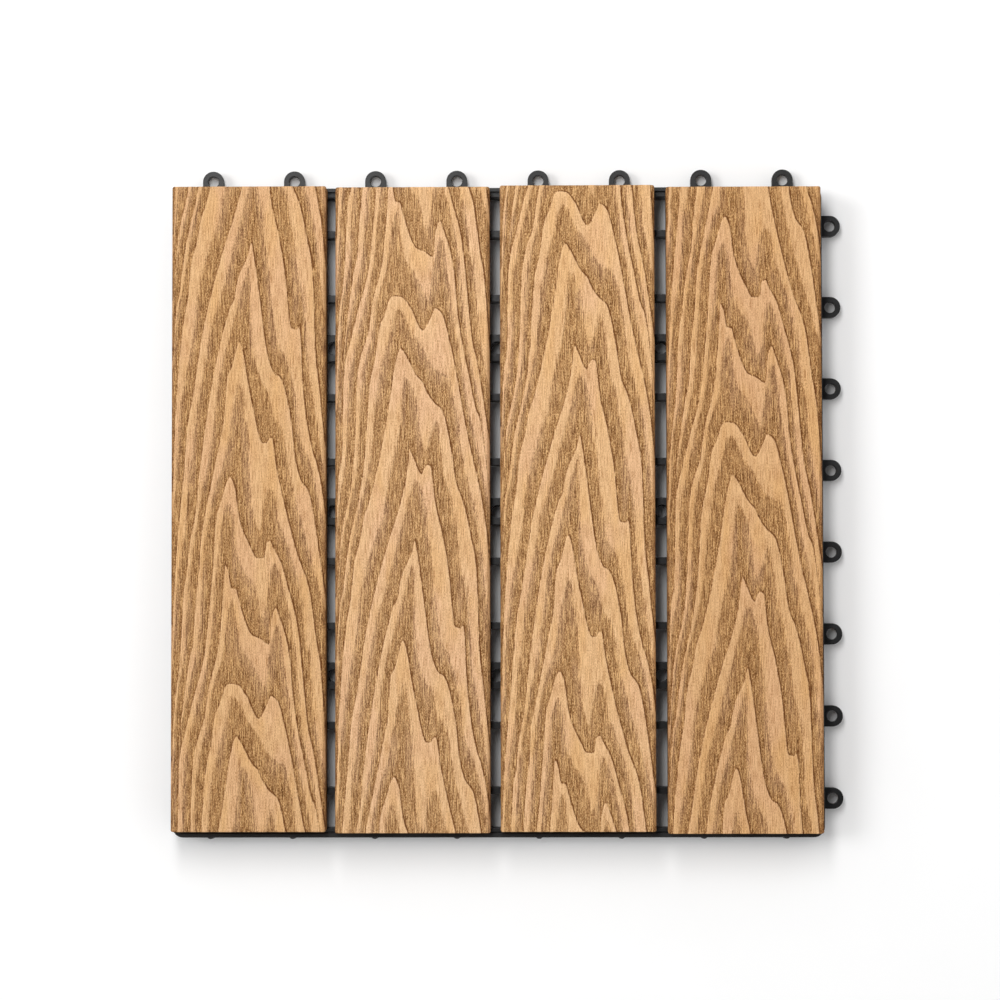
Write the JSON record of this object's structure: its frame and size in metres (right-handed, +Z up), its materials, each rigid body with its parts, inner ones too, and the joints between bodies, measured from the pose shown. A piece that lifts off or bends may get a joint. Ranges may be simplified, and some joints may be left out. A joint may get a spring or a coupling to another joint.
{
  "type": "interlocking deck tile",
  "caption": "Square floor tile of wood-composite slats on a black plastic grid base, with loops and pins round its edges that lock it to its neighbours.",
  "frame": {"origin": "middle of the square that the tile takes up when laid, at floor level, on the axis of the middle ring boss", "axes": "+Z up out of the floor; the slats run along Y; the loops stand out at +X and +Y, and the pins are at -X and -Y"},
  "size_m": [0.3071, 0.3071, 0.022],
  "materials": {
    "base_plastic": "fine moulded matt",
    "wood_composite": "embossed wood grain, matt, light raised bands and brown brushed hollows"
  },
  "bodies": {
    "root": {"base_grid": "base_plastic", "slat_1": "wood_composite", "slat_2": "wood_composite", "slat_3": "wood_composite", "slat_4": "wood_composite"}
  },
  "joints": []
}
